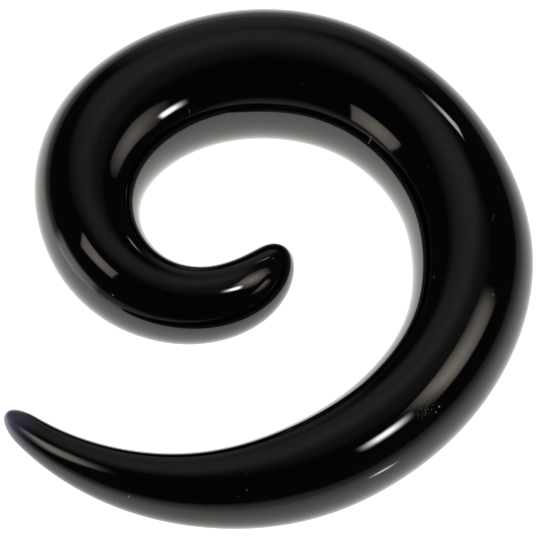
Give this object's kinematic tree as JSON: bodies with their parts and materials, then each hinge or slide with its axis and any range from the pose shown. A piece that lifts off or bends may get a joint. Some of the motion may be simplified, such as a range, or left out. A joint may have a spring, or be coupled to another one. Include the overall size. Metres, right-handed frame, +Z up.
{
  "type": "spiral ear taper",
  "caption": "Solid spiral ear taper: a round acrylic rod that swells from a thin tip to the stretch a lobe sits on, then thins inside the coil to a rounded end.",
  "frame": {"origin": "middle of the base of the box round the taper as it lies on its side", "axes": "+Z up from the surface it lies on; +Y across the coil, from the arc behind the thin tip towards the thickest arc; the thin tip is on the -X side"},
  "size_m": [0.0396, 0.0454, 0.0101],
  "materials": {
    "black_acrylic": "polished jet-black acrylic, coloured right through, very glossy, with a slightly wavy surface, dust specks and fine hairline scratches"
  },
  "bodies": {
    "root": {"spiral_taper": "black_acrylic"}
  },
  "joints": []
}
